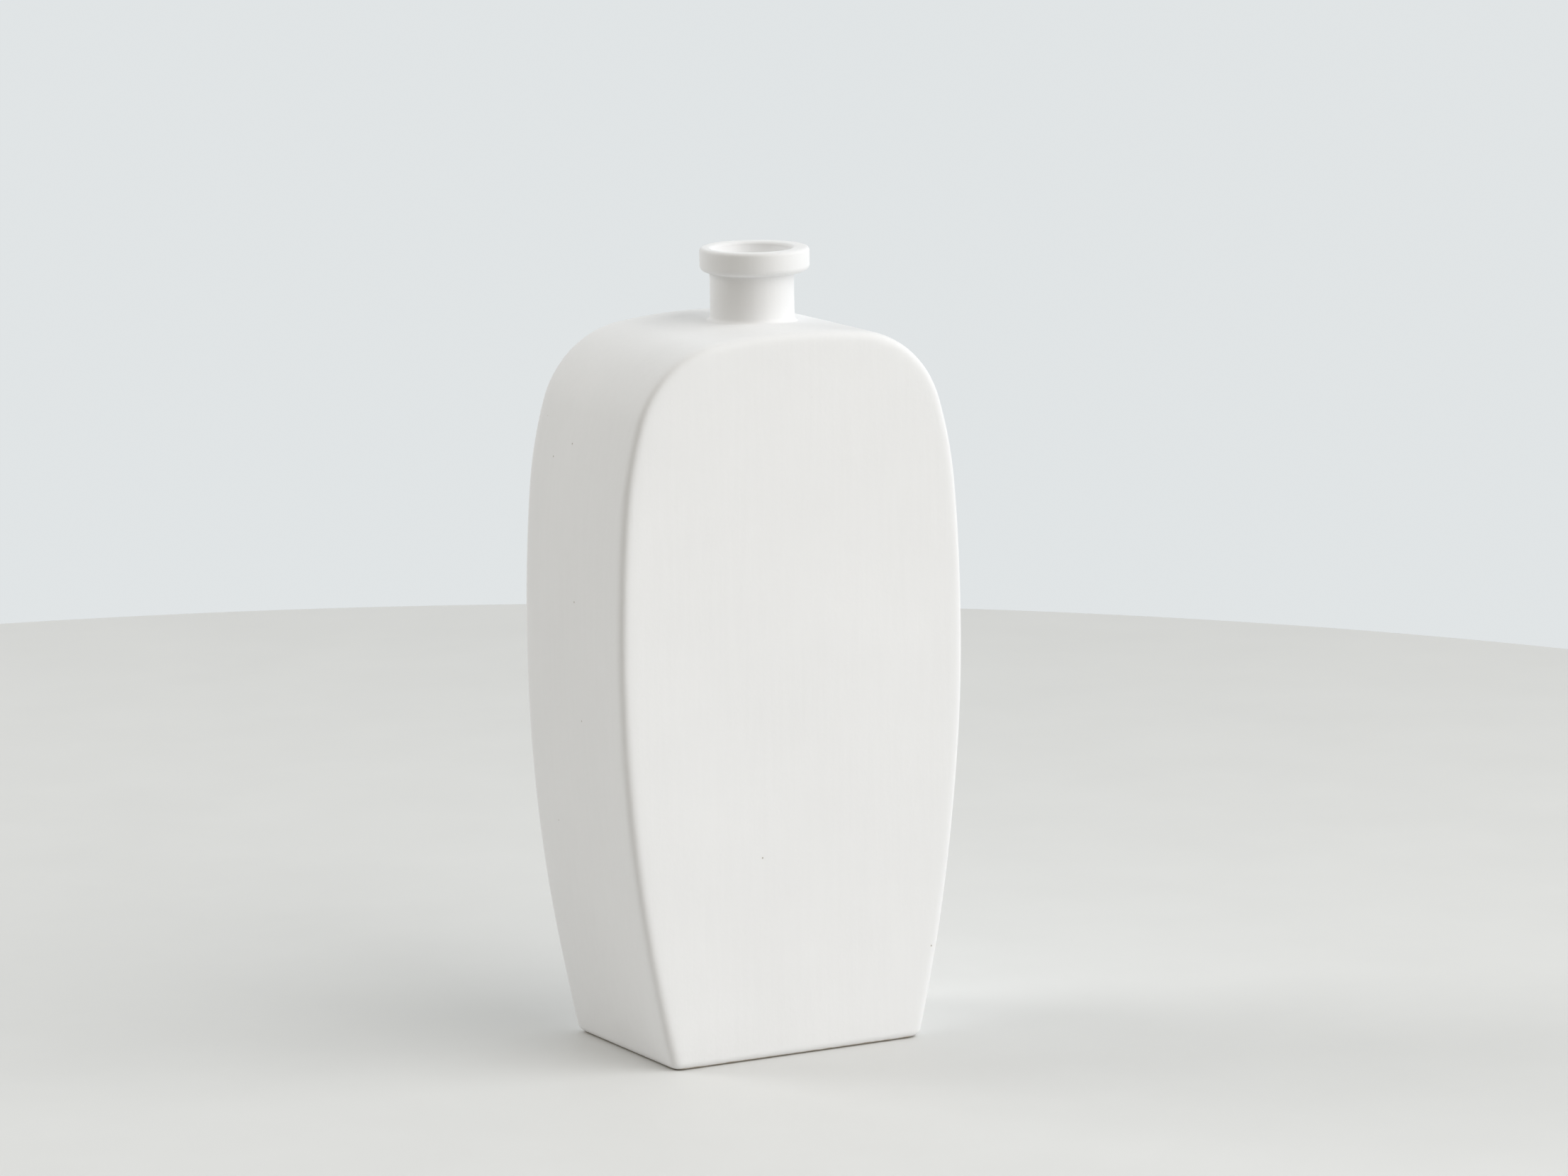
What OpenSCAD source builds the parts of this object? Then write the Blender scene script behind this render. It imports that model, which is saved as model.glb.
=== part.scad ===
// Flask-shaped ceramic bud vase, built from slabs with a thrown neck and lip.
// Units are millimetres. +Z is up, +X is the width, and the front faces -Y.
// The origin is the centre of the foot, on the surface that the vase stands on.

/* [Body] */
// Greatest width of the body
body_w = 97; // [90:0.5:110]
// Depth from the front face to the back face
body_d = 52.5; // [44:0.5:64]
// Height of the top of the shoulder
body_h = 181.5; // [176:0.5:186]
// Width at the foot
foot_w = 70.5; // [64:0.5:78]
// Height of the widest place
belly_z = 104; // [95:1:112]
// Thickness of the panels, side walls and shoulder
wall_t = 4.5; // [4.5:0.5:5.5]
// How far the rounded edge between a face and the sides reaches
edge_r = 4.5; // [2.5:0.5:4.5]
// Squareness of that rounding, where 2 is a quarter circle
edge_power = 4; // [2:0.5:5]

/* [Shoulder] */
// Angle that the lower side curve carries on above the widest place
carry_angle = 5; // [3:0.5:6]
// Radius of the side between the lower curve and the shoulder
upper_r = 105; // [98:1:125]
// Radius of the shoulder corners
shoulder_r = 26; // [22:0.5:30]
// Radius of the domed top
crown_r = 160; // [145:1:180]

/* [Neck and lip] */
// Overall height to the top of the lip
total_h = 199.4; // [198:0.2:206]
// Outer diameter of the neck
neck_d = 21; // [20:0.5:22]
// Diameter of the hole down the neck
bore_d = 15; // [13:0.5:15.5]
// Distance of the neck to the right of the middle of the body
neck_shift = 3.5; // [0:0.5:4]
// Outer diameter of the lip
lip_d = 27.3; // [26.5:0.1:29.5]
// Height of the lip
lip_h = 6; // [5.5:0.1:7]
// Distance of the lip to the right of the neck
lip_shift = 0.8; // [0:0.1:1]
// Diameter of the mouth inside the rim
mouth_d = 20; // [18:0.2:20.4]

/* [Base] */
// Thickness of the floor slab
base_t = 5; // [4:0.5:8]
// Radius under the edge of the foot
foot_edge_r = 2; // [0.5:0.5:3]

/* [Hidden] */

clay = [0.92, 0.92, 0.90];
bare_clay = [0.85, 0.82, 0.76];

round_steps = 6;
half_d = body_d / 2;
inner_d = body_d - 2 * wall_t;

// Side curve: it runs through the foot and is upright at the widest place.
half_w = body_w / 2;
foot_in = half_w - foot_w / 2;
side_r = (foot_in * foot_in + belly_z * belly_z) / (2 * foot_in);
side_c = [half_w - side_r, belly_z];

// Upper side curve: it touches the side curve where that one stops.
upper_c = side_c + (side_r - upper_r) * [cos(carry_angle), sin(carry_angle)];

// Crown curve: it is level in the middle of the body.
crown_c = [0, body_h - crown_r];

// Shoulder curve: it touches the upper side curve and the crown curve from inside.
from_upper = upper_r - shoulder_r;
from_crown = crown_r - shoulder_r;
centre_gap = norm(crown_c - upper_c);
along = (from_upper * from_upper - from_crown * from_crown + centre_gap * centre_gap) / (2 * centre_gap);
across = sqrt(from_upper * from_upper - along * along);
toward = (crown_c - upper_c) / centre_gap;
shoulder_c = upper_c + along * toward + across * [-toward[1], toward[0]];
shoulder_start = atan2(shoulder_c[1] - upper_c[1], shoulder_c[0] - upper_c[0]);
shoulder_end = atan2(shoulder_c[1] - crown_c[1], shoulder_c[0] - crown_c[0]);

side_steps = 16;
upper_steps = 5;
shoulder_steps = 14;
crown_steps = 4;

neck_r = neck_d / 2;
bore_r = bore_d / 2;
lip_r = lip_d / 2;
lip_z = total_h - lip_h;
spigot_h = 2;
spigot_r = (neck_r + bore_r) / 2;
neck_drop = 1;
fillet_r = 0.8;
fillet_sink = 0.05;
cove_r = 0.7;
lip_under_r = 1.6;
lip_top_r = 1;
mouth_r = mouth_d / 2;
mouth_edge_r = 1;
cut = 1;

// Points of one arc about c, from angle a to angle b, without its last point.
function arc(c, r, a, b, steps) =
    [for (k = [0 : steps - 1]) c + r * [cos(a + (b - a) * k / steps), sin(a + (b - a) * k / steps)]];

// The same arc with its last point.
function full_arc(c, r, a, b, steps) =
    [for (k = [0 : steps]) c + r * [cos(a + (b - a) * k / steps), sin(a + (b - a) * k / steps)]];

// Half width of the lower side at height z, moved in by inset.
function side_x(inset, z) = side_c[0] + sqrt(pow(side_r - inset, 2) - pow(z - belly_z, 2));

// Right side of the body from the top of the base up to the shoulder, moved in by inset.
function side_line(inset) = concat(
    arc(side_c, side_r - inset, asin((base_t - belly_z) / (side_r - inset)), carry_angle, side_steps),
    full_arc(upper_c, upper_r - inset, carry_angle, shoulder_start, upper_steps));

// Right half of the top from the shoulder to the middle of the body, moved in by inset.
function top_line(inset) = concat(
    arc(shoulder_c, shoulder_r - inset, shoulder_start, shoulder_end, shoulder_steps),
    full_arc(crown_c, crown_r - inset, shoulder_end, 90, crown_steps));

// A list of points in the other order.
function reversed(line) = [for (k = [len(line) - 1 : -1 : 0]) line[k]];

// The left half that matches a right half, without the first skip points of the right half's end.
function mirrored(line, skip) = [for (k = [len(line) - 1 - skip : -1 : 0]) [-line[k][0], line[k][1]]];

// Whole top from the right shoulder to the left one.
function whole_top(inset) = concat(top_line(inset), mirrored(top_line(inset), 1));

// Whole body outline above the base, from the right foot over the top to the left foot.
function outline(inset) = concat(
    side_line(inset),
    [for (k = [1 : len(whole_top(inset)) - 2]) whole_top(inset)[k]],
    mirrored(side_line(inset), 0));

// One closed solid over a stack of rings that have the same number of points.
module skin(rings) {
    n = len(rings[0]);
    last = len(rings) - 1;
    points = [for (ring = rings) each ring];
    first_cap = [[for (k = [0 : n - 1]) k]];
    last_cap = [[for (k = [n - 1 : -1 : 0]) last * n + k]];
    lower = [for (j = [0 : last - 1]) for (k = [0 : n - 1])
        [j * n + k, (j + 1) * n + k, j * n + (k + 1) % n]];
    upper = [for (j = [0 : last - 1]) for (k = [0 : n - 1])
        [j * n + (k + 1) % n, (j + 1) * n + k, (j + 1) * n + (k + 1) % n]];
    polyhedron(points = points, faces = concat(first_cap, last_cap, lower, upper));
}

// Rounded edge at angle a, running from 0 at the side to 90 at the face: how far it is in from
// the side, and how far it is in from the face.
function from_side(a) = edge_r * (1 - pow(cos(a), 2 / edge_power));
function from_face(a) = edge_r * (1 - pow(sin(a), 2 / edge_power));

// Ring of a panel at one step of its rounded edge.
function panel_ring(a) = [for (p = outline(from_side(a))) [p[0], half_d - from_face(a), p[1]]];

// Panel on the +Y side, flat inside and rounded at its outer edge.
module panel() {
    joint_ring = [for (p = outline(0)) [p[0], inner_d / 2, p[1]]];
    skin(concat([joint_ring], [for (k = [1 : round_steps]) panel_ring(90 * k / round_steps)]));
}

// Flat strip outline, extruded across the inside of the body from front to back.
module strip(line) {
    rotate([90, 0, 0])
        linear_extrude(height = inner_d, center = true)
            polygon(line);
}

module front_panel() {
    color(clay)
        mirror([0, 1, 0])
            panel();
}

module back_panel() {
    color(clay)
        panel();
}

module right_wall() {
    color(clay)
        strip(concat(side_line(0), reversed(side_line(wall_t))));
}

module left_wall() {
    color(clay)
        mirror([1, 0, 0])
            strip(concat(side_line(0), reversed(side_line(wall_t))));
}

// Bent strip across the top, with the hole that the neck is let into.
module shoulder() {
    color(clay)
        difference() {
            strip(concat(whole_top(0), reversed(whole_top(wall_t))));
            translate([neck_shift, 0, body_h - 3 * wall_t])
                cylinder(h = 6 * wall_t, r = neck_r, $fn = 96);
        }
}

// One corner of the base at height z, moved in by inset, for the corner in direction sx, sy.
function base_corner(z, inset, sx, sy) =
    [for (k = [0 : round_steps]) let (a = (sx * sy > 0 ? k : round_steps - k) * 90 / round_steps)
        [sx * side_x(from_side(a) + inset, z), sy * (half_d - from_face(a) - inset), z]];

// Ring of the base at height z. The foot's edge is rounded under.
function base_ring(z) =
    let (low = max(0, foot_edge_r - z), inset = foot_edge_r - sqrt(foot_edge_r * foot_edge_r - low * low))
    concat(base_corner(z, inset, 1, 1), base_corner(z, inset, -1, 1),
           base_corner(z, inset, -1, -1), base_corner(z, inset, 1, -1));

module base() {
    rounded = [for (k = [0 : round_steps]) base_ring(foot_edge_r * (1 - cos(90 * k / round_steps)))];
    color(bare_clay)
        skin(concat(rounded, [base_ring(base_t)]));
}

// Neck tube, with a small fillet on the shoulder, a cove under the lip and a spigot to seat the
// lip. The fillet starts where the domed top is lowest, so it never stands off the shoulder.
module neck() {
    low_z = body_h - wall_t - neck_drop;
    foot_r = neck_r + fillet_r;
    foot_z = crown_c[1] + sqrt(pow(crown_r, 2) - pow(neck_shift + foot_r, 2)) - fillet_sink;
    profile = concat(
        [[bore_r, low_z], [neck_r, low_z], [neck_r, foot_z - fillet_r], [foot_r, foot_z - fillet_r]],
        full_arc([foot_r, foot_z + fillet_r], fillet_r, 270, 180, round_steps),
        full_arc([neck_r + cove_r, lip_z - cove_r], cove_r, 180, 90, round_steps),
        [[spigot_r, lip_z], [spigot_r, lip_z + spigot_h], [bore_r, lip_z + spigot_h]]);
    color(clay)
        translate([neck_shift, 0, 0])
            difference() {
                rotate_extrude($fn = 96)
                    polygon(profile);
                difference() {
                    translate([-neck_shift, 0, 0])
                        strip(outline(0));
                    translate([0, 0, body_h - 3 * wall_t])
                        cylinder(h = 6 * wall_t, r = neck_r, $fn = 96);
                }
            }
}

// Lip with a narrow rim. Its outside sits a little to the right of the neck, and its mouth narrows
// down to the bore on the neck's own axis.
module lip() {
    outside = concat(
        [[0, lip_z]],
        full_arc([lip_r - lip_under_r, lip_z + lip_under_r], lip_under_r, 270, 360, round_steps),
        full_arc([lip_r - lip_top_r, total_h - lip_top_r], lip_top_r, 0, 90, round_steps),
        [[0, total_h]]);
    hollow = concat(
        [[0, lip_z - cut], [spigot_r, lip_z - cut], [spigot_r, lip_z + spigot_h], [bore_r, lip_z + spigot_h]],
        full_arc([mouth_r + mouth_edge_r, total_h - mouth_edge_r], mouth_edge_r, 180, 90, round_steps),
        [[mouth_r + mouth_edge_r, total_h + cut], [0, total_h + cut]]);
    color(clay)
        difference() {
            translate([neck_shift + lip_shift, 0, 0])
                rotate_extrude($fn = 96)
                    polygon(outside);
            translate([neck_shift, 0, 0])
                rotate_extrude($fn = 96)
                    polygon(hollow);
        }
}

front_panel();
back_panel();
left_wall();
right_wall();
shoulder();
base();
neck();
lip();
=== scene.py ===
"""Flask-shaped ceramic bud vase, in metres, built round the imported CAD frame."""

import math

import bmesh
import bpy
import numpy as np
from mathutils import Matrix, Vector, noise


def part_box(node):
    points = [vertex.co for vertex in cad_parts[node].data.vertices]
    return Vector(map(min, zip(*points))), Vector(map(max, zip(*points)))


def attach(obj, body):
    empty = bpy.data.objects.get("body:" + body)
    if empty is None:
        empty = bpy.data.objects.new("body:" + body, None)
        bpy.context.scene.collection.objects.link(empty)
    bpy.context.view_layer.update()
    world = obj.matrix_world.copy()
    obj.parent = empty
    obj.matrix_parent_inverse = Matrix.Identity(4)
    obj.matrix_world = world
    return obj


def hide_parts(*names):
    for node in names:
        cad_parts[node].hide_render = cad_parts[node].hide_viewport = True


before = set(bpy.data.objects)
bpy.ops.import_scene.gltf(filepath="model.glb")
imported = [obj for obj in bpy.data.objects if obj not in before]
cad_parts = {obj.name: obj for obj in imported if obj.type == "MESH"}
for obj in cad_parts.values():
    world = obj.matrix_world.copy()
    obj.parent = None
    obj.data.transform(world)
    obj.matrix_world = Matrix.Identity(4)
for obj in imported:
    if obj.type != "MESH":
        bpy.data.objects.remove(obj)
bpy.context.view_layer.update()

MM = 0.001
RIGHT_ANGLE = math.pi / 2

# Sizes that the frame gives
PANEL_LOW, PANEL_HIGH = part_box("back_panel")
SHOULDER_LOW, SHOULDER_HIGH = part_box("shoulder")
LIP_LOW, LIP_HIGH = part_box("lip")
HALF_W = (PANEL_HIGH[0] - PANEL_LOW[0]) / 2
HALF_D = PANEL_HIGH[1]
BODY_H = PANEL_HIGH[2]
WALL_T = PANEL_HIGH[1] - PANEL_LOW[1]
INNER_D = HALF_D - WALL_T
BASE_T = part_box("base")[1][2]
NECK_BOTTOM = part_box("neck")[0][2]
LIP_R = (LIP_HIGH[0] - LIP_LOW[0]) / 2
LIP_X = (LIP_HIGH[0] + LIP_LOW[0]) / 2
LIP_Z = LIP_LOW[2]
TOP_Z = LIP_HIGH[2]

# Curves of the body, as in the CAD
FOOT_HALF_W = 35.25 * MM
BELLY_Z = 104 * MM
CARRY_ANGLE = math.radians(5)
UPPER_R = 105 * MM
SHOULDER_R = 26 * MM
CROWN_R = 160 * MM
FOOT_EDGE_R = 2 * MM
EDGE_R = 4.5 * MM
EDGE_POWER = 4

# Neck and lip, as in the CAD but for a softer fillet at the neck's foot and a slight waist
LIP_SHIFT = 0.8 * MM
NECK_X = LIP_X - LIP_SHIFT
NECK_R = 10.5 * MM
BORE_R = 7.5 * MM
SPIGOT_R = (NECK_R + BORE_R) / 2
SPIGOT_H = 2 * MM
FILLET_R = 1.2 * MM
FILLET_SINK = 0.02 * MM
COVE_R = 0.7 * MM
WAIST = 0.05 * MM
LIP_UNDER_R = 1.6 * MM
LIP_TOP_R = 1 * MM
MOUTH_R = 10 * MM
MOUTH_EDGE_R = 1 * MM

# Hand-made unevenness. It only goes inwards, so the vase stays inside the CAD box.
WOBBLE = 0.30 * MM
WOBBLE_SIZE = 42 * MM
WOBBLE_FADE_Z = 12 * MM
NECK_CALM = 14 * MM
NECK_FADE = 8 * MM

# Steps along each curve and across each face
SIDE_STEPS = 64
UPPER_STEPS = 14
SHOULDER_STEPS = 36
CROWN_STEPS = 14
FOOT_STEPS = 25
EDGE_STEPS = 16
STRIP_STEPS = 12
FACE_STEPS = 25
FOOT_EDGE_STEPS = 10
CURVE_STEPS = 8
WAIST_STEPS = 11
HOLE_STEPS = 96
NECK_STEPS = 128
TABLE_STEPS = 256

# Rings on a panel's flat sides, as shares of its outline's size
INSIDE_RINGS = (0.25, 0.5, 0.75, 0.93)
SMALLEST_RING = 0.04

# Faces that meet at more than this angle keep a sharp edge
SHARP_ABOVE = math.radians(40)


# ---- outline of the body ----

def tangent_circles():
    """Centres of the four arcs, and the angles where the shoulder arc starts and ends."""
    foot_in = HALF_W - FOOT_HALF_W
    side_r = (foot_in ** 2 + BELLY_Z ** 2) / (2 * foot_in)
    side_c = np.array([HALF_W - side_r, BELLY_Z])
    carry = np.array([math.cos(CARRY_ANGLE), math.sin(CARRY_ANGLE)])
    upper_c = side_c + (side_r - UPPER_R) * carry
    crown_c = np.array([0.0, BODY_H - CROWN_R])
    gap = np.linalg.norm(crown_c - upper_c)
    from_upper = UPPER_R - SHOULDER_R
    from_crown = CROWN_R - SHOULDER_R
    along = (from_upper ** 2 - from_crown ** 2 + gap ** 2) / (2 * gap)
    across = math.sqrt(from_upper ** 2 - along ** 2)
    toward = (crown_c - upper_c) / gap
    shoulder_c = upper_c + along * toward + across * np.array([-toward[1], toward[0]])
    start = math.atan2(*(shoulder_c - upper_c)[::-1])
    end = math.atan2(*(shoulder_c - crown_c)[::-1])
    return side_r, side_c, upper_c, shoulder_c, crown_c, start, end


SIDE_R, SIDE_C, UPPER_C, SHOULDER_C, CROWN_C, SHOULDER_START, SHOULDER_END = tangent_circles()


def arc(centre, radius, a, b, steps):
    """Points of one arc and their outward normals, ends included."""
    turn = np.linspace(a, b, steps + 1)
    normal = np.column_stack([np.cos(turn), np.sin(turn)])
    return np.asarray(centre) + radius * normal, normal


def chain(*arcs):
    """Arcs end to end, without the point that two of them share."""
    points = [arcs[0][0]] + [p[1:] for p, n in arcs[1:]]
    normals = [arcs[0][1]] + [n[1:] for p, n in arcs[1:]]
    return np.vstack(points), np.vstack(normals)


def flip(line):
    """The same line on the left, run the other way."""
    points, normals = line
    return points[::-1] * [-1, 1], normals[::-1] * [-1, 1]


def side_line(inset=0.0):
    """Right side from the top of the base up to the shoulder, moved in by inset."""
    foot_angle = math.asin((BASE_T - BELLY_Z) / (SIDE_R - inset))
    return chain(arc(SIDE_C, SIDE_R - inset, foot_angle, CARRY_ANGLE, SIDE_STEPS),
                 arc(UPPER_C, UPPER_R - inset, CARRY_ANGLE, SHOULDER_START, UPPER_STEPS))


def top_line(inset=0.0):
    """From the right shoulder over the crown to the left shoulder, moved in by inset."""
    half = chain(arc(SHOULDER_C, SHOULDER_R - inset, SHOULDER_START, SHOULDER_END, SHOULDER_STEPS),
                 arc(CROWN_C, CROWN_R - inset, SHOULDER_END, RIGHT_ANGLE, CROWN_STEPS))
    return chain(half, flip(half))


def foot_line(inset=0.0):
    """Straight across the top of the base between the ends of the outline, without those ends."""
    half = side_line(inset)[0][0][0]
    x = np.linspace(-half, half, FOOT_STEPS + 1)[1:-1]
    points = np.column_stack([x, np.full(len(x), BASE_T)])
    return points, np.zeros((len(x), 2))


def crown_z(x):
    """Height of the domed top at x."""
    return CROWN_C[1] + math.sqrt(CROWN_R ** 2 - x ** 2)


# ---- hand-made unevenness ----

def clamp(value):
    """The value, kept between 0 and 1."""
    return min(1.0, max(0.0, value))


def uneven(points, normals):
    """Moves outer points inwards by a slow, fixed noise that fades out at the base and by the neck."""
    moved = []
    for p, n in zip(points, normals):
        depth = clamp((1 + noise.noise(Vector(p) / WOBBLE_SIZE)) / 2)
        from_neck = math.dist(p, (NECK_X, 0.0, BODY_H))
        fade = clamp((p[2] - BASE_T) / WOBBLE_FADE_Z) * clamp((from_neck - NECK_CALM) / NECK_FADE)
        moved.append(np.asarray(p) - np.asarray(n) * WOBBLE * depth * fade)
    return np.array(moved)


# ---- meshes from rings ----

def new_piece(name, points, faces, nodes):
    """One smooth piece, riding on the root body, that stands for CAD nodes."""
    name = "fired_" + name
    mesh = bpy.data.meshes.new(name)
    mesh.from_pydata([tuple(p) for p in points], [], faces)
    mesh.validate()
    mesh.update()
    piece = bpy.data.objects.new(name, mesh)
    bpy.context.collection.objects.link(piece)
    mesh.set_sharp_from_angle(angle=SHARP_ABOVE)
    for face in mesh.polygons:
        face.use_smooth = True
    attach(piece, "root")
    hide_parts(*nodes)
    return piece


def full_turn(steps):
    """Angles once round, without the end that repeats the start."""
    return [2 * math.pi * k / steps for k in range(steps)]


def ring_faces(count, size, capped=True):
    """Faces of a skin over count rings of size points, closed at both ends when it is capped."""
    faces = []
    for j in range(count - 1):
        for k in range(size):
            nxt = (k + 1) % size
            faces.append((j * size + k, j * size + nxt, (j + 1) * size + nxt, (j + 1) * size + k))
    if capped:
        faces.append(tuple(range(size))[::-1])
        faces.append(tuple((count - 1) * size + k for k in range(size)))
    return faces


def turn_outward(piece):
    """Makes the faces of a closed piece look outwards."""
    work = bmesh.new()
    work.from_mesh(piece.data)
    bmesh.ops.recalc_face_normals(work, faces=work.faces)
    work.to_mesh(piece.data)
    work.free()
    return piece


def skinned(name, rings):
    """Closed piece over rings of equal size."""
    faces = ring_faces(len(rings), len(rings[0]))
    return turn_outward(new_piece(name, np.vstack(rings), faces, [name]))


# ---- panels ----

def edge_at(a):
    """Rounded edge at angle a from the side (0) to the face: how far in from each, and its normal."""
    c, s = max(0.0, math.cos(a)), math.sin(a)
    from_side = EDGE_R * (1 - c ** (2 / EDGE_POWER))
    from_face = EDGE_R * (1 - s ** (2 / EDGE_POWER))
    lean = 2 - 2 / EDGE_POWER
    size = math.hypot(c ** lean, s ** lean)
    return from_side, from_face, c ** lean / size, s ** lean / size


def outline(inset=0.0):
    """Closed outline of the body above the base, moved in by inset, and its outward normals."""
    right = side_line(inset)
    points, normals = chain(right, top_line(inset), flip(right))
    foot_points, foot_normals = foot_line(inset)
    return np.vstack([points, foot_points]), np.vstack([normals, foot_normals])


def on_plane(flat, y):
    """Points of a flat outline on the plane at y."""
    return np.column_stack([flat[:, 0], np.full(len(flat), y), flat[:, 1]])


def panel(name, side):
    """Front (side -1) or back (side +1) slab: flat inside, rounded at the edge outside."""
    centre = np.array([0.0, BELLY_Z])
    full, full_normals = outline()
    rings = [on_plane(centre + (full - centre) * s, side * INNER_D) for s in INSIDE_RINGS]
    rings.append(uneven(on_plane(full, side * INNER_D), on_plane(full_normals, 0.0)))
    for a in np.linspace(0, RIGHT_ANGLE, EDGE_STEPS + 1)[1:]:
        from_side, from_face, to_side, to_face = edge_at(a)
        flat, normals = outline(from_side)
        facing = on_plane(normals * to_side, side * to_face)
        rings.append(uneven(on_plane(flat, side * (HALF_D - from_face)), facing))
    edge = outline(EDGE_R)[0]
    straight_out = on_plane(np.zeros_like(edge), side)
    for s in np.linspace(1, SMALLEST_RING, FACE_STEPS + 1)[1:]:
        rings.append(uneven(on_plane(centre + (edge - centre) * s, side * HALF_D), straight_out))
    return skinned(name, rings)


# ---- side walls and shoulder ----

def strip_rings(line):
    """Rings across a strip: outer face from front to back, then inner face from back to front."""
    points, normals = line
    across = np.linspace(-INNER_D, INNER_D, STRIP_STEPS + 1)
    rings = []
    for p, n in zip(points, normals):
        outer = [(p[0], y, p[1]) for y in across]
        facing = [(n[0], 0.0, n[1])] * len(across)
        q = p - WALL_T * n
        inner = [(q[0], y, q[1]) for y in across[::-1]]
        rings.append(np.vstack([uneven(outer, facing), inner]))
    return rings


def wall(name, side):
    """Side strip from the base to the shoulder, on the left (-1) or the right (+1)."""
    return skinned(name, strip_rings(side_line() if side > 0 else flip(side_line())))


def neck_drill():
    """Upright cylinder as wide as the neck, through the whole height of the shoulder."""
    points = []
    for z in (SHOULDER_LOW[2] - WALL_T, SHOULDER_HIGH[2] + WALL_T):
        points += [(NECK_X + NECK_R * math.cos(a), NECK_R * math.sin(a), z) for a in full_turn(HOLE_STEPS)]
    mesh = bpy.data.meshes.new("drill")
    mesh.from_pydata(points, [], ring_faces(2, HOLE_STEPS))
    drill = bpy.data.objects.new("drill", mesh)
    bpy.context.collection.objects.link(drill)
    return turn_outward(drill)


def shoulder():
    """Bent strip across the top, with the hole that the neck is let into."""
    piece = skinned("shoulder", strip_rings(top_line()))
    drill = neck_drill()
    cut = piece.modifiers.new("hole", "BOOLEAN")
    cut.operation = "DIFFERENCE"
    cut.solver = "EXACT"
    cut.object = drill
    bpy.context.view_layer.update()
    shape = bpy.data.meshes.new_from_object(piece.evaluated_get(bpy.context.evaluated_depsgraph_get()))
    piece.modifiers.clear()
    piece.data = shape
    bpy.data.objects.remove(drill)
    return piece


# ---- base ----

def base_ring(z, under):
    """Outline of the base at height z, moved in by under, with the same rounded corners as the body."""
    corner = np.linspace(0, RIGHT_ANGLE, EDGE_STEPS + 1)
    ring = []
    for sx, sy in ((1, 1), (-1, 1), (-1, -1), (1, -1)):
        for a in corner if sx * sy > 0 else corner[::-1]:
            from_side, from_face = edge_at(a)[:2]
            x = SIDE_C[0] + math.sqrt((SIDE_R - (from_side + under)) ** 2 - (z - BELLY_Z) ** 2)
            y = HALF_D - from_face - under
            ring.append((sx * x, sy * y, z))
    return ring


def base():
    """Floor slab with the foot's edge rounded under."""
    heights = [FOOT_EDGE_R * (1 - math.cos(a)) for a in np.linspace(0, RIGHT_ANGLE, FOOT_EDGE_STEPS + 1)]
    heights += [BASE_T / 2, BASE_T]
    rings = []
    for z in heights:
        low = max(0.0, FOOT_EDGE_R - z)
        rings.append(base_ring(z, FOOT_EDGE_R - math.sqrt(FOOT_EDGE_R ** 2 - low ** 2)))
    return skinned("base", rings)


# ---- neck and lip ----

def turned(name, profile_at):
    """A closed ring turned about the neck's axis. profile_at gives the (radius, z) loop at one angle."""
    rings = []
    for a in full_turn(NECK_STEPS):
        rings.append([(NECK_X + r * math.cos(a), r * math.sin(a), z) for r, z in profile_at(a)])
    size = len(rings[0])
    faces = ring_faces(NECK_STEPS, size, capped=False)
    last = (NECK_STEPS - 1) * size
    for k in range(size):
        nxt = (k + 1) % size
        faces.append((last + k, last + nxt, nxt, k))
    return turn_outward(new_piece(name, np.vstack(rings), faces, [name]))


def curve(centre_r, centre_z, radius, a, b):
    """Points of an arc in the (radius, z) plane."""
    turn = np.linspace(a, b, CURVE_STEPS + 1)
    return [(centre_r + radius * math.cos(t), centre_z + radius * math.sin(t)) for t in turn]


def neck():
    """Tube with a fillet that follows the shoulder, a slight waist, a cove under the lip and a spigot."""
    foot_r = NECK_R + FILLET_R
    high = LIP_Z - COVE_R

    def profile_at(a):
        foot = crown_z(NECK_X + foot_r * math.cos(a)) - FILLET_SINK
        low = foot + FILLET_R
        skirt = foot - FILLET_R
        loop = [(BORE_R, NECK_BOTTOM), (NECK_R, NECK_BOTTOM), (NECK_R, skirt), (foot_r, skirt)]
        loop += curve(foot_r, low, FILLET_R, 3 * RIGHT_ANGLE, 2 * RIGHT_ANGLE)
        for t in np.linspace(0, 1, WAIST_STEPS + 1)[1:-1]:
            loop.append((NECK_R - WAIST * math.sin(math.pi * t), low + (high - low) * t))
        loop += curve(NECK_R + COVE_R, high, COVE_R, 2 * RIGHT_ANGLE, RIGHT_ANGLE)
        loop += [(SPIGOT_R, LIP_Z), (SPIGOT_R, LIP_Z + SPIGOT_H), (BORE_R, LIP_Z + SPIGOT_H)]
        return loop
    return turned("neck", profile_at)


def outside_r(radius, a):
    """Distance from the neck's axis, at angle a, of a circle about the lip's own axis."""
    return LIP_SHIFT * math.cos(a) + math.sqrt(radius ** 2 - (LIP_SHIFT * math.sin(a)) ** 2)


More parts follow.
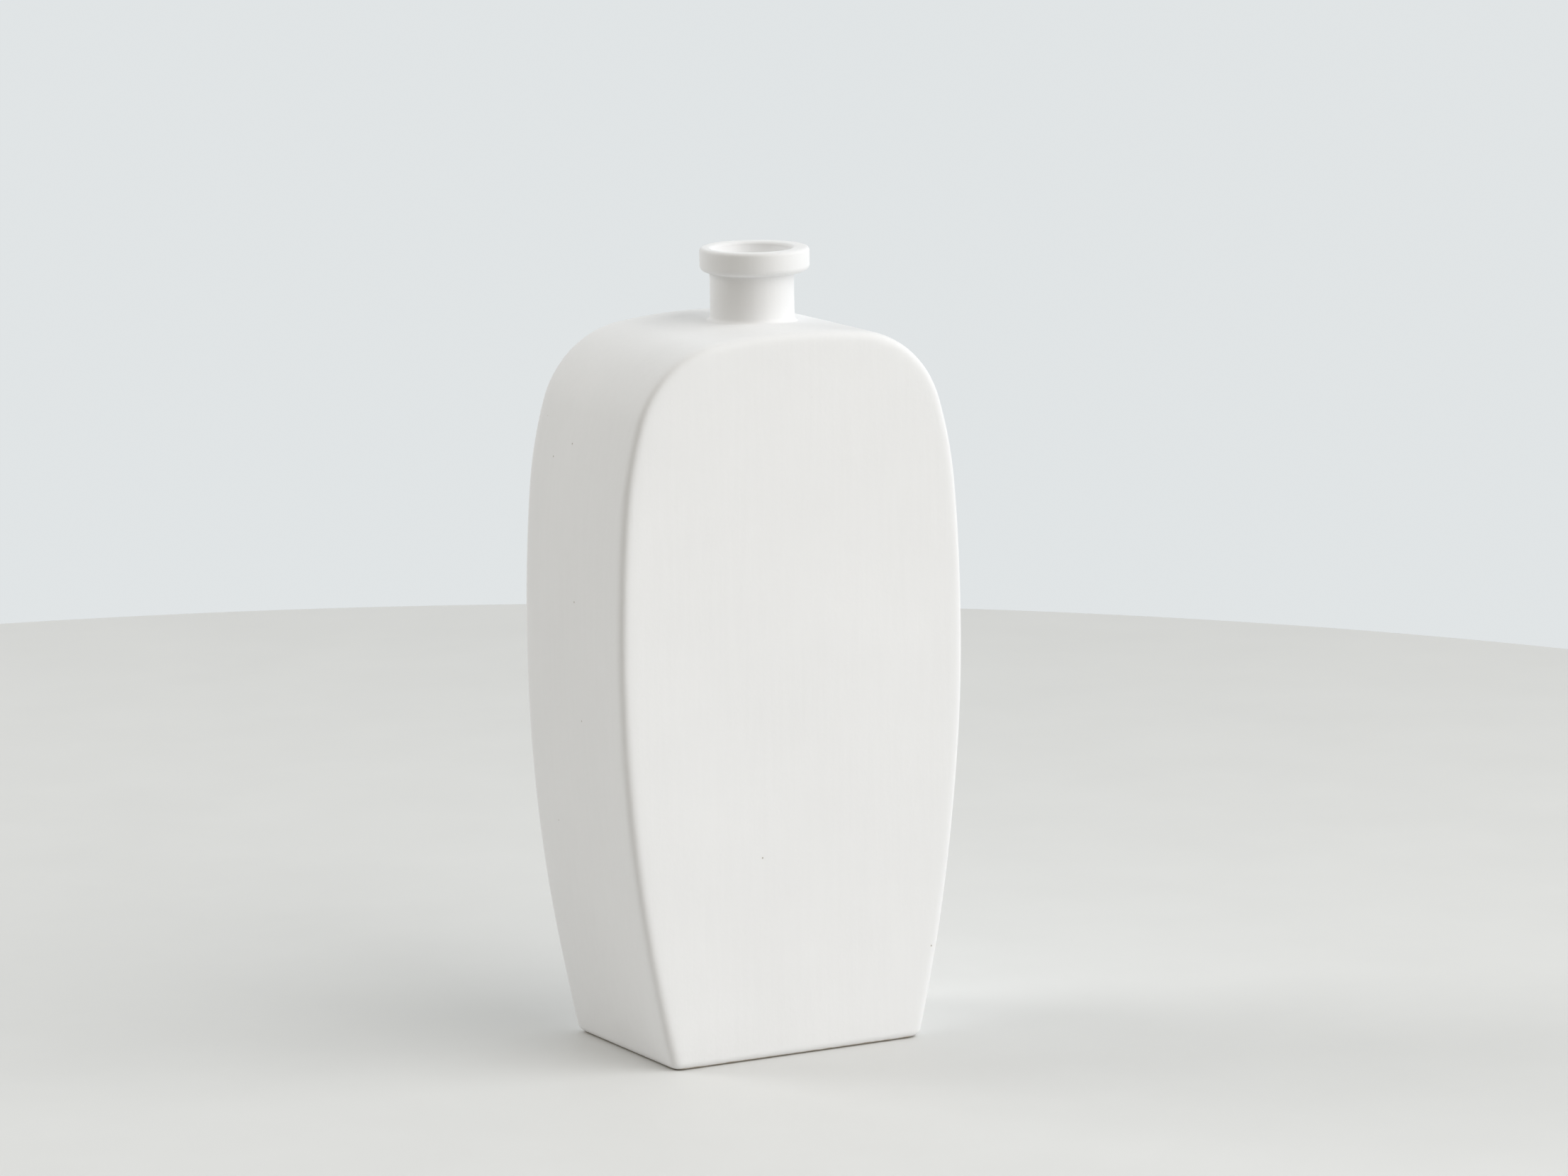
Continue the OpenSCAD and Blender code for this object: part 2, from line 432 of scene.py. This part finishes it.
def lip():
    """Lip whose outside sits a little to the right of the neck, with a mouth that narrows to the bore."""
    outside = curve(LIP_R - LIP_UNDER_R, LIP_Z + LIP_UNDER_R, LIP_UNDER_R, -RIGHT_ANGLE, 0)
    outside += curve(LIP_R - LIP_TOP_R, TOP_Z - LIP_TOP_R, LIP_TOP_R, 0, RIGHT_ANGLE)
    mouth_c = (MOUTH_R + MOUTH_EDGE_R, TOP_Z - MOUTH_EDGE_R)
    mouth = curve(*mouth_c, MOUTH_EDGE_R, RIGHT_ANGLE, 2 * RIGHT_ANGLE)

    def profile_at(a):
        loop = [(SPIGOT_R, LIP_Z)]
        loop += [(outside_r(r, a), z) for r, z in outside]
        loop += mouth
        loop += [(BORE_R, LIP_Z + SPIGOT_H), (SPIGOT_R, LIP_Z + SPIGOT_H)]
        return loop
    return turned("lip", profile_at)


# ---- materials ----

# Noise scales are in cells per metre
GLAZE_LOW = (0.838, 0.838, 0.843, 1)
GLAZE_HIGH = (0.868, 0.868, 0.873, 1)
TONE_CELLS = 30
TONE_SHARE = 0.7
STREAK_CELLS = 700
STREAK_STRETCH = (1, 1, 0.06)
STREAK_SHARE = 1 - TONE_SHARE
GRAIN_CELLS = 900
GRAIN_DETAIL = 3
ROUGHNESS_LOW = 0.52
ROUGHNESS_HIGH = 0.66
STREAK_RELIEF = 0.6
RELIEF_STRENGTH = 0.25
RELIEF_DEPTH = 0.1 * MM

PINHOLE_TONE = (0.50, 0.47, 0.43, 1)
PINHOLE_R = 0.3 * MM
PINHOLE_CELL = 12 * MM

# Bare clay at the foot; its dark band along the table is also painted contact shadow
BARE_CLAY_AND_CONTACT_SHADOW = (0.50, 0.44, 0.35, 1)
BARE_AND_SHADOWED_BELOW = 0.25 * MM
GLAZED_ABOVE = 0.7 * MM
GLAZE_RAGGED = 0.12 * MM
RAGGED_CELLS = 400

STONE_LOW = (0.70, 0.70, 0.69, 1)
STONE_HIGH = (0.74, 0.74, 0.73, 1)
STONE_CELLS = 25
STONE_DETAIL = 3
STONE_ROUGHNESS = 0.6


def new_material(name):
    """Material with one Principled shader, and what is needed to add nodes to it."""
    material = bpy.data.materials.new(name)
    material.use_nodes = True
    nodes, links = material.node_tree.nodes, material.node_tree.links
    nodes.clear()
    output = nodes.new("ShaderNodeOutputMaterial")
    shader = nodes.new("ShaderNodeBsdfPrincipled")
    links.new(shader.outputs["BSDF"], output.inputs["Surface"])
    return material, nodes, links, shader


def noise_at(nodes, links, place, scale, detail=2, stretch=(1, 1, 1)):
    """Noise over a place on the object, with its coordinates first multiplied by stretch."""
    mapping = nodes.new("ShaderNodeMapping")
    mapping.inputs["Scale"].default_value = stretch
    links.new(place, mapping.inputs["Vector"])
    texture = nodes.new("ShaderNodeTexNoise")
    texture.inputs["Scale"].default_value = scale
    texture.inputs["Detail"].default_value = detail
    links.new(mapping.outputs["Vector"], texture.inputs["Vector"])
    return texture.outputs["Fac"]


def remap(nodes, links, value, low, high, from_low=0.3, from_high=0.7):
    """The value's stretch from from_low to from_high, spread over low to high and held at its ends."""
    node = nodes.new("ShaderNodeMapRange")
    node.inputs["From Min"].default_value = from_low
    node.inputs["From Max"].default_value = from_high
    node.inputs["To Min"].default_value = low
    node.inputs["To Max"].default_value = high
    links.new(value, node.inputs["Value"])
    return node.outputs["Result"]


def math_node(nodes, links, operation, a, b):
    """Result of one operation on two numbers or sockets."""
    node = nodes.new("ShaderNodeMath")
    node.operation = operation
    for socket, value in zip(node.inputs, (a, b)):
        if isinstance(value, (int, float)):
            socket.default_value = value
        else:
            links.new(value, socket)
    return node.outputs["Value"]


def mix_colour(nodes, links, factor, a, b):
    """Colour a where the factor is 0 and b where it is 1. Each is a colour or a socket."""
    node = nodes.new("ShaderNodeMix")
    node.data_type = "RGBA"
    links.new(factor, node.inputs["Factor"])
    for socket, value in ((node.inputs["A"], a), (node.inputs["B"], b)):
        if isinstance(value, tuple):
            socket.default_value = value
        else:
            links.new(value, socket)
    return node.outputs["Result"]


def pinholes(nodes, links, place):
    """1 in the few small pits where the centre of a cell lies close to the surface, and 0 elsewhere."""
    cells = nodes.new("ShaderNodeTexVoronoi")
    cells.inputs["Scale"].default_value = 1 / PINHOLE_CELL
    links.new(place, cells.inputs["Vector"])
    edge = PINHOLE_R / PINHOLE_CELL
    return remap(nodes, links, cells.outputs["Distance"], 1, 0, edge / 2, edge)


def glaze_nodes(name):
    """Matt white glaze with slow tone changes, upright streaks, grain and pinholes, its colour unlinked."""
    material, nodes, links, shader = new_material(name)
    place = nodes.new("ShaderNodeTexCoord").outputs["Object"]
    slow = noise_at(nodes, links, place, TONE_CELLS)
    fine = noise_at(nodes, links, place, GRAIN_CELLS, GRAIN_DETAIL)
    streak = noise_at(nodes, links, place, STREAK_CELLS, stretch=STREAK_STRETCH)
    tone = math_node(nodes, links, "ADD", remap(nodes, links, slow, 0, TONE_SHARE),
                     remap(nodes, links, streak, 0, STREAK_SHARE))
    colour = mix_colour(nodes, links, tone, GLAZE_LOW, GLAZE_HIGH)
    links.new(remap(nodes, links, fine, ROUGHNESS_LOW, ROUGHNESS_HIGH), shader.inputs["Roughness"])
    pinhole = pinholes(nodes, links, place)
    colour = mix_colour(nodes, links, pinhole, colour, PINHOLE_TONE)
    relief = math_node(nodes, links, "ADD", fine, math_node(nodes, links, "MULTIPLY", streak, STREAK_RELIEF))
    relief = math_node(nodes, links, "SUBTRACT", relief, pinhole)
    bump = nodes.new("ShaderNodeBump")
    bump.inputs["Strength"].default_value = RELIEF_STRENGTH
    bump.inputs["Distance"].default_value = RELIEF_DEPTH
    links.new(relief, bump.inputs["Height"])
    links.new(bump.outputs["Normal"], shader.inputs["Normal"])
    return material, nodes, links, shader, place, colour


def glaze_material():
    """Plain glaze for all pieces but the base."""
    material, _, links, shader, _, colour = glaze_nodes("matt_glaze")
    links.new(colour, shader.inputs["Base Color"])
    return material


def foot_material():
    """Glaze that thins out towards the table and leaves bare clay under the foot. The dark band along the
    table is bare clay and also painted contact shadow.
    """
    material, nodes, links, shader, place, colour = glaze_nodes("foot_glaze")
    parts = nodes.new("ShaderNodeSeparateXYZ")
    links.new(place, parts.inputs[0])
    uneven_edge = noise_at(nodes, links, place, RAGGED_CELLS)
    ragged = remap(nodes, links, uneven_edge, -GLAZE_RAGGED, GLAZE_RAGGED)
    height = math_node(nodes, links, "ADD", parts.outputs["Z"], ragged)
    # Painted contact shadow along the table, on top of the bare clay's own colour
    bare_and_contact_shadow = remap(nodes, links, height, 1, 0, BARE_AND_SHADOWED_BELOW, GLAZED_ABOVE)
    links.new(mix_colour(nodes, links, bare_and_contact_shadow, colour, BARE_CLAY_AND_CONTACT_SHADOW), shader.inputs["Base Color"])
    return material


def stone_material():
    """Plain pale stone for the table top."""
    material, nodes, links, shader = new_material("floor_stone")
    place = nodes.new("ShaderNodeTexCoord").outputs["Object"]
    cloud = noise_at(nodes, links, place, STONE_CELLS, STONE_DETAIL)
    links.new(mix_colour(nodes, links, cloud, STONE_LOW, STONE_HIGH), shader.inputs["Base Color"])
    shader.inputs["Roughness"].default_value = STONE_ROUGHNESS
    return material


# ---- stage, light and camera ----

# Angles are in degrees
CAMERA_AZIMUTH = -29.01
CAMERA_ELEVATION = 10.09
CAMERA_ROLL = -0.67
CAMERA_DISTANCE = 1.8655
CAMERA_TARGET = Vector((0.01159, 0.0, 0.11287))
CAMERA_LENS = 171.43
SENSOR_W = 36.0

# Table top: its radius, and how far its centre lies behind and to the left of the vase
TABLE_R = 0.60
TABLE_BACK = 0.015
TABLE_LEFT = 0.076

# Surroundings: their two colours, where the dark one lies, and where they start and end changing
WORLD_PALE = (0.75, 0.78, 0.79, 1)
WORLD_DARK = (0.138, 0.114, 0.068, 1)
DARK_AZIMUTH = -50
DARK_ELEVATION = 10
DARK_STARTS = -0.5
DARK_FULL = 0.9

LIGHT_DISTANCE = 1.6


def direction(azimuth, elevation):
    """Unit vector from the vase towards an azimuth (0 is the front) and elevation, in degrees."""
    a, e = math.radians(azimuth), math.radians(elevation)
    return Vector((math.sin(a) * math.cos(e), -math.cos(a) * math.cos(e), math.sin(e)))


def make_camera():
    """Camera at the front left, looking slightly down at the vase."""
    data = bpy.data.cameras.new("camera")
    data.lens = CAMERA_LENS
    data.sensor_width = SENSOR_W
    camera = bpy.data.objects.new("camera", data)
    bpy.context.collection.objects.link(camera)
    back = direction(CAMERA_AZIMUTH, CAMERA_ELEVATION)
    camera.location = CAMERA_TARGET + back * CAMERA_DISTANCE
    aim = (-back).to_track_quat("-Z", "Y").to_matrix().to_4x4()
    roll = Matrix.Rotation(math.radians(CAMERA_ROLL), 4, "Z")
    camera.rotation_mode = "QUATERNION"
    camera.rotation_quaternion = (aim @ roll).to_quaternion()
    bpy.context.scene.camera = camera


def make_floor():
    """Round table top, with its far edge well behind the vase."""
    behind = direction(CAMERA_AZIMUTH, 0) * -TABLE_BACK
    centre = behind - direction(CAMERA_AZIMUTH + 90, 0) * TABLE_LEFT
    ring = []
    for a in full_turn(TABLE_STEPS):
        ring.append((centre.x + TABLE_R * math.cos(a), centre.y + TABLE_R * math.sin(a), 0.0))
    mesh = bpy.data.meshes.new("floor")
    mesh.from_pydata(ring, [], [tuple(range(TABLE_STEPS))])
    floor = bpy.data.objects.new("floor", mesh)
    bpy.context.collection.objects.link(floor)
    mesh.materials.append(stone_material())


def make_world():
    """Pale surroundings that are darker towards the front left."""
    world = bpy.data.worlds.new("studio")
    bpy.context.scene.world = world
    world.use_nodes = True
    nodes, links = world.node_tree.nodes, world.node_tree.links
    nodes.clear()
    output = nodes.new("ShaderNodeOutputWorld")
    background = nodes.new("ShaderNodeBackground")
    look = nodes.new("ShaderNodeTexCoord").outputs["Generated"]
    dot = nodes.new("ShaderNodeVectorMath")
    dot.operation = "DOT_PRODUCT"
    links.new(look, dot.inputs[0])
    dot.inputs[1].default_value = direction(DARK_AZIMUTH, DARK_ELEVATION)
    dark = remap(nodes, links, dot.outputs["Value"], 0, 1, DARK_STARTS, DARK_FULL)
    links.new(mix_colour(nodes, links, dark, WORLD_PALE, WORLD_DARK), background.inputs["Color"])
    links.new(background.outputs["Background"], output.inputs["Surface"])


def area_light(name, azimuth, elevation, size, power):
    """A soft round light that looks at the vase."""
    data = bpy.data.lights.new(name, "AREA")
    data.shape = "DISK"
    data.size = size
    data.energy = power
    light = bpy.data.objects.new(name, data)
    bpy.context.collection.objects.link(light)
    toward = direction(azimuth, elevation)
    light.location = Vector((0, 0, BELLY_Z)) + toward * LIGHT_DISTANCE
    light.rotation_mode = "QUATERNION"
    light.rotation_quaternion = toward.to_track_quat("Z", "Y")


# ---- build ----

pieces = [panel("front_panel", -1), panel("back_panel", 1), wall("left_wall", -1), wall("right_wall", 1),
          shoulder(), base(), neck(), lip()]
glaze = glaze_material()
foot = foot_material()
for piece in pieces:
    piece.data.materials.clear()
    piece.data.materials.append(foot if piece.name == "fired_base" else glaze)

make_camera()
make_floor()
make_world()
area_light("key", azimuth=35, elevation=35, size=2.2, power=24.7)
area_light("fill", azimuth=-130, elevation=30, size=1.0, power=9.2)

bpy.context.scene.view_settings.view_transform = "Standard"
